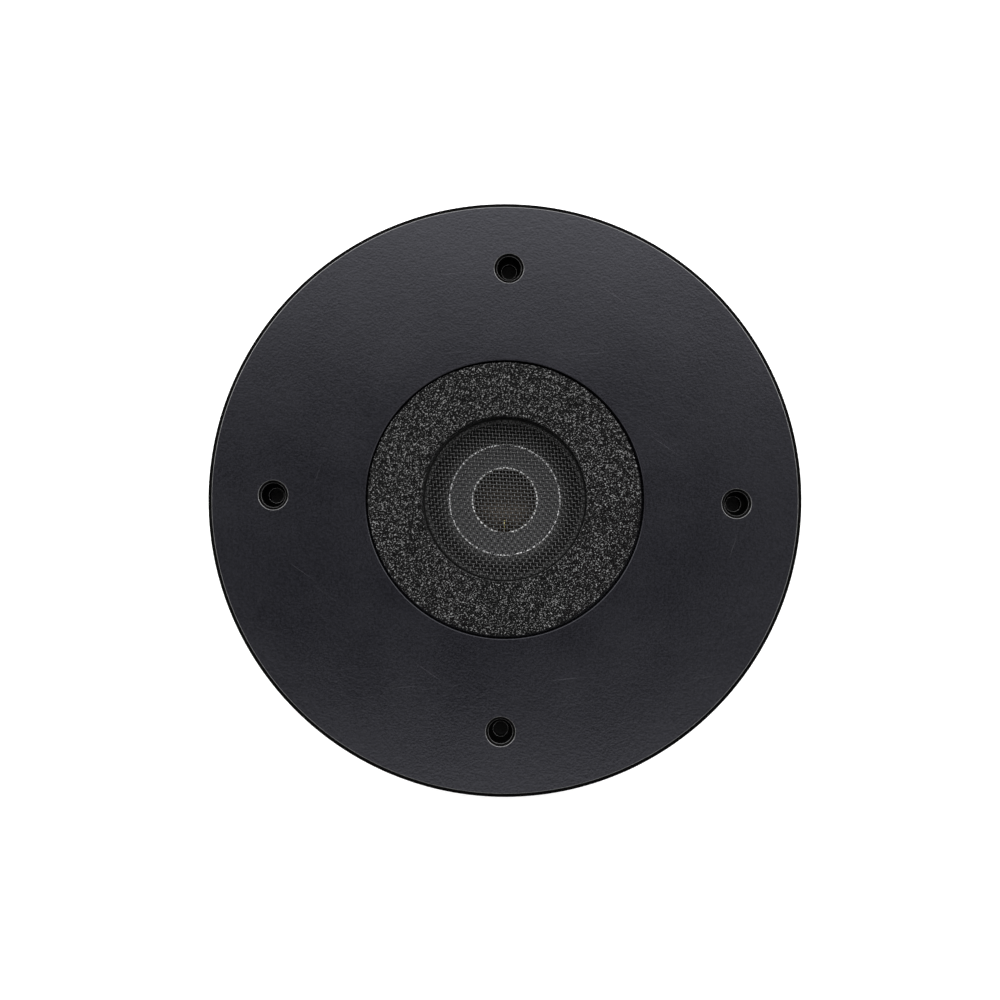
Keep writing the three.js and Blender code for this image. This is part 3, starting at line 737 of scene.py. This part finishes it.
def foam_section():
    """The ring's cross-section as one closed line, close-set on top and wider on the walls and underneath."""
    top = np.linspace(foam_outer, foam_inner, 74)
    wall = np.linspace(foam_low, foam_high, 15)[1:-1]
    rounded = 0.1 * (np.abs(top - (foam_inner + foam_outer) / 2) > (foam_outer - foam_inner) / 2 - 0.01)
    upper = np.stack([top, foam_high - rounded], 1)
    outside = np.stack([np.full(len(wall), foam_outer), wall], 1)
    inside = np.stack([np.full(len(wall), foam_inner), wall[::-1]], 1)
    under = np.array([(foam_inner, foam_low), (22.0, foam_low), (26.0, foam_low), (foam_outer, foam_low)])
    return np.concatenate([under, outside, upper, inside])


section = foam_section()
turn = np.arange(around_foam) * 2 * np.pi / around_foam
smooth_foam = np.stack([
    np.outer(section[:, 0], np.cos(turn)),
    np.outer(section[:, 0], np.sin(turn)),
    np.broadcast_to(section[:, 1:], (len(section), around_foam)),
], axis=-1).reshape(-1, 3)
strut = np.clip(1 - bubble_pattern(smooth_foam, large_cell, 11) / 0.42, 0, 1)
strut_small = np.clip(1 - bubble_pattern(smooth_foam, small_cell, 12) / 0.5, 0, 1)
lift = 0.62 * strut + 0.38 * strut_small
radial = np.repeat(section[:, 0], around_foam)
level = np.repeat(section[:, 1], around_foam)
outward = np.where(radial > foam_outer - 0.01, 1.0, np.where(radial < foam_inner + 0.01, -1.0, 0.0))
on_top = np.clip((level - foam_high + 0.2) / 0.1, 0, 1)
pit = pit_depth * (1 - lift)
sink = np.stack([
    -pit * outward * np.tile(np.cos(turn), len(section)),
    -pit * outward * np.tile(np.sin(turn), len(section)),
    -pit * on_top,
], axis=-1)
foam_points = moved(smooth_foam + sink * (level > foam_low + 0.01)[:, None], *foam_centre)
print(f"{len(foam_points)} points, {100 * (lift > 0.5).mean():.0f}% of the surface is strut")

# %% Foam ring and its finish
def foam_finish():
    material, tree, shader, place = new_material("charcoal_open_foam")
    strut_value = add_node(tree, "Attribute", attribute_name="strut").outputs["Fac"]
    grain = noise(tree, place, 4300.0, 1.0)
    # The colour is far darker in the hollows and lighter on the struts: painted shade in the pits and a
    # painted highlight on the struts, over a random grain.
    pit_shade_and_strut_highlight = math_node(tree, "MULTIPLY_ADD", strut_value, 0.6, -0.5)
    value = math_node(tree, "MULTIPLY_ADD", grain, 1.5, pit_shade_and_strut_highlight)
    colour = ramp(tree, value, [(0.46, 0.0004), (0.62, 0.002), (0.77, 0.018), (0.97, 0.24)])
    tree.links.new(colour, shader.inputs["Base Color"])
    shader.inputs["Roughness"].default_value = 0.85
    shader.inputs["Specular IOR Level"].default_value = 0.1
    return material


foam_faces = grid_faces(len(section), around_foam, closed_rows=True, closed_columns=True)
foam = build("foam_ring_cells", foam_points, foam_faces, foam_finish(), 180)
foam.data.attributes.new("strut", "FLOAT", "POINT").data.foreach_set("value", lift.astype(np.float32))
put(foam, "black_foam", "foam_ring")

# %% [markdown]
# ## Woven grille
#
# The grille is plain weave, like cloth: each wire goes over one crossing wire and under the next, and the
# sheet is pressed into a shallow dome. The weave lies a few degrees off square. An Array modifier could
# repeat a tile, but the dome and the round edge need every wire to have its own length, so each set of
# wires is one array.

# %% Wires over the dome
bulge_radius, bulge_rise, bulge_softness = 15.8, 1.6, 0.05
brim_middle = low("grille_mesh") + 0.25
wire = 0.13
mesh_edge = 17.8


def bulge_height(x, y):
    """A shallow cap of a sphere that runs out softly into the flat brim."""
    sphere = (bulge_radius ** 2 + bulge_rise ** 2) / (2 * bulge_rise)
    cap = np.sqrt(sphere ** 2 - x ** 2 - y ** 2) - (sphere - bulge_rise)
    return 0.5 * (cap + np.sqrt(cap ** 2 + bulge_softness ** 2)) - bulge_softness / 2


def woven_wires(pitch, crossing_pitch, bearing, crossing_bearing, over_first, stations=166):
    """One set of wires. Bearing is the direction of the wires' numbering, and they run square to it.

    Wire i lies at i pitches along the bearing. With c = cos(pi s), where s counts the crossing wires passed,
    its height swings as 1.3 c - 0.3 c cubed, which is flatter on the crests. Neighbours swing opposite ways.
    """
    number = np.arange(-int(mesh_edge / pitch), int(mesh_edge / pitch) + 1)
    offset = number * pitch
    offset = offset[np.abs(offset) < mesh_edge - 0.3]
    number = np.round(offset / pitch)
    normal = np.array([math.cos(bearing), math.sin(bearing)])
    along = np.array([-normal[1], normal[0]])
    crossing = np.array([math.cos(crossing_bearing), math.sin(crossing_bearing)])
    half = np.sqrt(mesh_edge ** 2 - offset ** 2)
    reach = half[:, None] * np.linspace(-1, 1, stations)
    flat = offset[:, None, None] * normal + reach[..., None] * along
    passed = (flat @ crossing) / crossing_pitch
    side = 1 - 2 * ((number[:, None] + over_first) % 2)
    wave = np.cos(np.pi * passed)
    swing = wire * side * (1.3 * wave - 0.3 * wave ** 3)
    height = brim_middle + bulge_height(flat[..., 0], flat[..., 1]) + swing
    return np.concatenate([flat, height[..., None]], axis=-1), [*normal, 0]


warp_bearing = math.radians(4.8) + part_turn
weft_bearing = math.radians(90 - 2.5) + part_turn
warp_pitch, weft_pitch = 0.739, 0.802
wire_paint = finish("satin_black_wire", 0.003, 0.006, 0.2, (0.2, 0.3), 0.004, specular=0.8)
sets = {
    "grille_upright_wires": woven_wires(warp_pitch, weft_pitch, warp_bearing, weft_bearing, 0),
    "grille_level_wires": woven_wires(weft_pitch, warp_pitch, weft_bearing, warp_bearing, 1),
}
for name, (paths, sideways) in sets.items():
    points, faces = tubes(paths, wire, sideways)
    put(build(name, points, faces, wire_paint, 60), "grille_wire", "grille_mesh")
    print(name, len(paths), "wires")

# %% [markdown]
# ## Bowl, bead and the coil's end
#
# The bowl is pressed from thin foil with a bronze tint, and its depth is a cap of a sphere. A bright bead
# on its rim makes the inner ring. The coil's wires come up inside the bowl at the bottom, and are held with
# dark glue, which the material paints as a blotch.

# %% Bowl
bowl_radius, bowl_depth, bowl_wall, rim_wall = 6.95, 2.4, 0.18, 0.2
bowl_sphere = (bowl_radius ** 2 + bowl_depth ** 2) / (2 * bowl_depth)


def bowl_height(r):
    """The lower cap of a sphere, so deep that it meets the rim."""
    return dome_rim - bowl_depth + bowl_sphere - np.sqrt(bowl_sphere ** 2 - r ** 2)


def bowl_finish():
    material, tree, shader, place = new_material("bronze_foil")
    grain = noise(tree, place, 1500.0, 4.0)
    tone = ramp(tree, grain, [(0.3, (0.03, 0.025, 0.021)), (0.7, (0.056, 0.048, 0.04))])
    wobble = noise(tree, place, 900.0, 2.0)
    moved_place = add_node(tree, "VectorMath", {0: place, 1: (0, 0.0062, 0)}, operation="ADD").outputs[0]
    flat = add_node(tree, "VectorMath", {0: moved_place, 1: (1.0, 0.9, 0)}, operation="MULTIPLY").outputs[0]
    distance = add_node(tree, "VectorMath", {0: flat}, operation="LENGTH").outputs["Value"]
    uneven = math_node(tree, "MULTIPLY_ADD", wobble, 0.0016, distance)
    glue = add_node(tree, "MapRange", {0: uneven, 1: 0.0022, 2: 0.0029, 3: 1.0, 4: 0.0}).outputs[0]
    mixing = {0: glue, 6: tone, 7: (0.02, 0.014, 0.008, 1)}
    colour = add_node(tree, "Mix", mixing, data_type="RGBA").outputs[2]
    tree.links.new(colour, shader.inputs["Base Color"])
    gloss = add_node(tree, "MapRange", {0: grain, 1: 0.3, 2: 0.7, 3: 0.3, 4: 0.4}).outputs[0]
    tree.links.new(gloss, shader.inputs["Roughness"])
    shader.inputs["Metallic"].default_value = 1.0
    bump = add_node(tree, "Bump", {"Height": grain, "Strength": 1.0, "Distance": 0.003 * MM}).outputs[0]
    tree.links.new(bump, shader.inputs["Normal"])
    return material


bowl_r = np.linspace(0, 1, 40) * bowl_radius
under_r = bowl_r[bowl_r < bowl_radius - rim_wall]
bowl_outline = np.concatenate([
    np.stack([under_r, bowl_height(under_r) - bowl_wall], 1),
    [(bowl_radius, dome_rim - rim_wall), (rim_radius, dome_rim - rim_wall), (rim_radius, dome_rim)],
    np.stack([bowl_r, bowl_height(bowl_r)], 1)[::-1],
])
bowl = build("bronze_bowl", *revolve(bowl_outline, 160), bowl_finish())
put(bowl, "bronze_dome", "inverted_dome", body="diaphragm")

# %% Bead on the rim
bead_arc = np.linspace(0, np.pi, 11)
bead_outline = np.stack([7.3 + 0.2 * np.cos(bead_arc), dome_rim + 0.13 * np.sin(bead_arc)], 1)
bead = build("rim_bead", *revolve(bead_outline, 200), bead_metal)
put(bead, "bronze_dome", "inverted_dome", body="diaphragm")


def smooth_path(points, count):
    """A Catmull-Rom curve through a few points: each span is the cubic that leaves and arrives along the line
    between its neighbours."""
    knots = np.asarray(points, float)
    knots = np.concatenate([[2 * knots[0] - knots[1]], knots, [2 * knots[-1] - knots[-2]]])
    place = np.linspace(0, len(knots) - 3 - 1e-9, count)
    span = place.astype(int)
    t = (place - span)[:, None]
    a, b, c, d = (knots[span + i] for i in range(4))
    return b + 0.5 * t * (c - a + t * (2 * a - 5 * b + 4 * c - d + t * (3 * (b - c) + d - a)))


tail_r = np.array([0.64, 0.75, 0.86, 0.955]) * bowl_radius
tail_lift, tail_thickness = 0.19, 0.13
tail_path = smooth_path(np.stack([0 * tail_r, -tail_r, bowl_height(tail_r) + tail_lift], 1), 28)
yellow_wire = finish("enamelled_wire", (0.55, 0.5, 0.18), (0.8, 0.72, 0.3), 0.4, (0.4, 0.5), 0.002, 0.0)
tail_points, tail_faces = tubes(tail_path[None], tail_thickness, (1, 0, 0), 12)
put(build("coil_end_wire", tail_points, tail_faces, yellow_wire), "copper", "coil_tail", body="diaphragm")

# %% [markdown]
# ## Voice coil
#
# The coil is fine copper wire wound on a thin amber tube, which hangs from the bowl into the magnet's gap.
# A wound coil has a scalloped side, one scallop to each turn, so the outline gets the scallops before it
# turns.

# %% Former and winding
former_low, former_high = low("voice_coil_former"), high("voice_coil_former")
former_outline = eased(band(7.12, 7.27, former_low, former_high), 0.03)
former = build("amber_former", *revolve(former_outline, 144), amber_film)
put(former, "coil_former", "voice_coil_former", body="diaphragm")
coil_low, coil_high = low("voice_coil"), high("voice_coil")
turns = 16
wound = np.linspace(coil_low, coil_high, turns * 6 + 1)
scallop = 7.6 - 0.05 * (1 - np.abs(np.sin((wound - coil_low) / (coil_high - coil_low) * turns * np.pi)))
coil_outline = np.concatenate([[(7.28, coil_low)], np.stack([scallop, wound], 1), [(7.28, coil_high)]])
coil = build("copper_winding", *revolve(coil_outline, 128), copper, 50)
put(coil, "copper", "voice_coil", body="diaphragm")

# %% [markdown]
# ## Motor
#
# The yoke is a steel disc with a pole in its middle, and the top plate is a steel ring round the pole.
# Between them the ferrite ring pushes the field across the narrow gap where the coil hangs. The steel is
# turned and passivated black, and the ferrite is ground flat, with small chamfers because it chips.

# %% Yoke, magnet and top plate
pole_radius, pole_top, dish_radius, dish_depth = 6.8, 22.6, 6.0, 2.7
dish_sphere = (dish_radius ** 2 + dish_depth ** 2) / (2 * dish_depth)


def dish_height(r):
    return pole_top - dish_depth + dish_sphere - np.sqrt(dish_sphere ** 2 - r ** 2)


magnet_low, magnet_high = low("magnet"), high("magnet")
dish_r = np.linspace(dish_radius, 0, 24)
yoke_outline = np.concatenate([
    [(0, 0), (34, 0), (35, 1), (35, magnet_low), (pole_radius, magnet_low), (pole_radius, pole_top - 0.3),
     (pole_radius - 0.3, pole_top)],
    np.stack([dish_r, dish_height(dish_r)], 1),
])
yoke_easing = np.array([0, 0.15, 0.15, 0.15, 0.3, 0.08, 0.08] + [0.0] * len(dish_r))
yoke_points, yoke_faces = revolve(eased(yoke_outline, yoke_easing), 224)
put(build("yoke_turned", yoke_points, yoke_faces, motor_steel), "black_steel", "yoke")
magnet_outline = [(16, magnet_low), (35.2, magnet_low), (36, magnet_low + 0.8), (36, magnet_high - 0.8),
                  (35.2, magnet_high), (16, magnet_high)]
magnet = build("ferrite_ring", *revolve(eased(magnet_outline, 0.2), 224), ferrite)
put(magnet, "ferrite", "magnet")
top_outline = eased(band(7.95, 35, magnet_high, top_plate_face), 0.25)
top_plate = build("top_plate_turned", *revolve(top_outline, 224), motor_steel)
tapped = [(0, magnet_high - 1), (screw_bore, magnet_high - 1), (screw_bore, top_plate_face + 1),
          (0, top_plate_face + 1)]
cut(top_plate, [hole_cutter(tapped, 0, spot, 32) for spot in screw_spots])
put(top_plate, "black_steel", "top_plate")
shorting_outline = eased(band(7.1, 9.6, magnet_low, magnet_low + 6), 0.15)
shorting = build("shorting_ring_turned", *revolve(shorting_outline, 128), copper)
put(shorting, "copper", "shorting_ring")
pad_r = np.linspace(0, 4.2, 16)
pad_low = np.stack([pad_r, dish_height(pad_r) + 0.05], 1)
pad_high = np.stack([pad_r, dish_height(pad_r) + 0.65], 1)[::-1]
pad = build("felt_pad", *revolve(np.concatenate([pad_low, pad_high]), 96), felt)
put(pad, "felt", "damping_pad")

# %% [markdown]
# ## Screws, rivets, terminals and leads
#
# Four socket screws hold the motor, hidden under the foam. The two blades take push-on connectors, and each
# is riveted through a laminate board with the end of its copper strip under it. The board, blades and
# strips are flat, so the CAD shape is right, and a copy of it only needs its sharp edges bevelled.

# %% Screws
head_top = screw_floor + 2.4
screw_outline = [(0, magnet_high + 0.4), (1.5, magnet_high + 0.4), (1.5, screw_floor), (2.75, screw_floor),
                 (2.75, head_top - 0.3), (2.45, head_top), (0, head_top)]
socket_outline = [(0, head_top - 1.2), (1.4, head_top - 1.2), (1.4, head_top + 1), (0, head_top + 1)]
screw_points, screw_faces = revolve(eased(screw_outline, 0.08), 40)
for number, (x, y) in enumerate(screw_spots, 1):
    screw = build(f"socket_screw_{number}", moved(screw_points, x, y), screw_faces, zinc)
    cut(screw, [hole_cutter(socket_outline, 0, (x, y), 6)])
    put(screw, "zinc_steel", f"assembly_screw_{number}")

# %% Board, blades and strips
def bevelled_copy(node, name, material, slot, width):
    """The CAD node's own shape as a new piece: corners merged, flat faces joined, and edges bevelled."""
    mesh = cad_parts[node].data.copy()
    mesh.name = name
    work = bmesh.new()
    work.from_mesh(mesh)
    bmesh.ops.remove_doubles(work, verts=work.verts, dist=1e-6)
    bmesh.ops.dissolve_limit(work, angle_limit=math.radians(2), verts=work.verts, edges=work.edges)
    bmesh.ops.recalc_face_normals(work, faces=work.faces)
    work.to_mesh(mesh)
    work.free()
    mesh.materials.clear()
    mesh.materials.append(material)
    mesh.shade_smooth()
    piece = bpy.data.objects.new(name, mesh)
    scene.collection.objects.link(piece)
    edge = piece.modifiers.new("eased edges", "BEVEL")
    edge.width = width * MM
    edge.segments = 2
    edge.limit_method = "ANGLE"
    edge.harden_normals = True
    return put(piece, slot, node)


bevelled_copy("terminal_board", "laminate_board", board_laminate, "phenolic_board", 0.2)
rivet_level = top_plate_face - 3.7
for side, x in (("positive", -lead_x), ("negative", lead_x)):
    bevelled_copy(f"terminal_{side}", f"blade_{side}", tinned, "tinned_brass", 0.12)
    bevelled_copy(f"lead_strip_{side}", f"strip_{side}", copper, "copper", 0.05)
    rivet_outline = [(0, 36.8), (1, 36.8), (1, 39.7), (1.3, 39.7), (1.105, 40.12), (0.585, 40.3), (0, 40.3)]
    rivet_points, rivet_faces = revolve(eased(rivet_outline, 0.12), 48)
    across_board, up_board, out_of_board = rivet_points.T
    rivet_points = np.stack([x + across_board, -out_of_board, rivet_level + up_board], 1)
    put(build(f"rivet_{side}", rivet_points, rivet_faces, brass), "rivet_brass", f"terminal_rivet_{side}")

# %% [markdown]
# The two limp leads are braided from very fine copper wire. A braid looks like a rope with crossing
# strands, so the tube's radius swells where the strands of either direction come up. They bend when the
# bowl moves, but here they are built at rest on neither body, as the surround is.

# %% Flexible leads
lead_stations, lead_sides = 120, 12
for side, x in (("positive", -lead_x), ("negative", lead_x)):
    knots = [(x, -6.24, 23.62), (x, -8.238, 23.67), (x, -10.569, 23.89), (x, -13.9, 23.87)]
    lead_path = smooth_path(knots, lead_stations)
    strand = np.linspace(0, 44 * np.pi, lead_stations)[:, None]
    round_about = (np.arange(lead_sides) * 2 * np.pi / lead_sides)[None]
    swell = 0.108 + 0.012 * np.maximum(np.cos(3 * round_about + strand), np.cos(3 * round_about - strand))
    lead_points, lead_faces = tubes(lead_path[None], swell[None], (1, 0, 0), lead_sides)
    lead = build(f"braided_lead_{side}", lead_points, lead_faces, copper)
    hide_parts(f"lead_flex_{side}")
    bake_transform(lead)
print("terminals and leads ready")
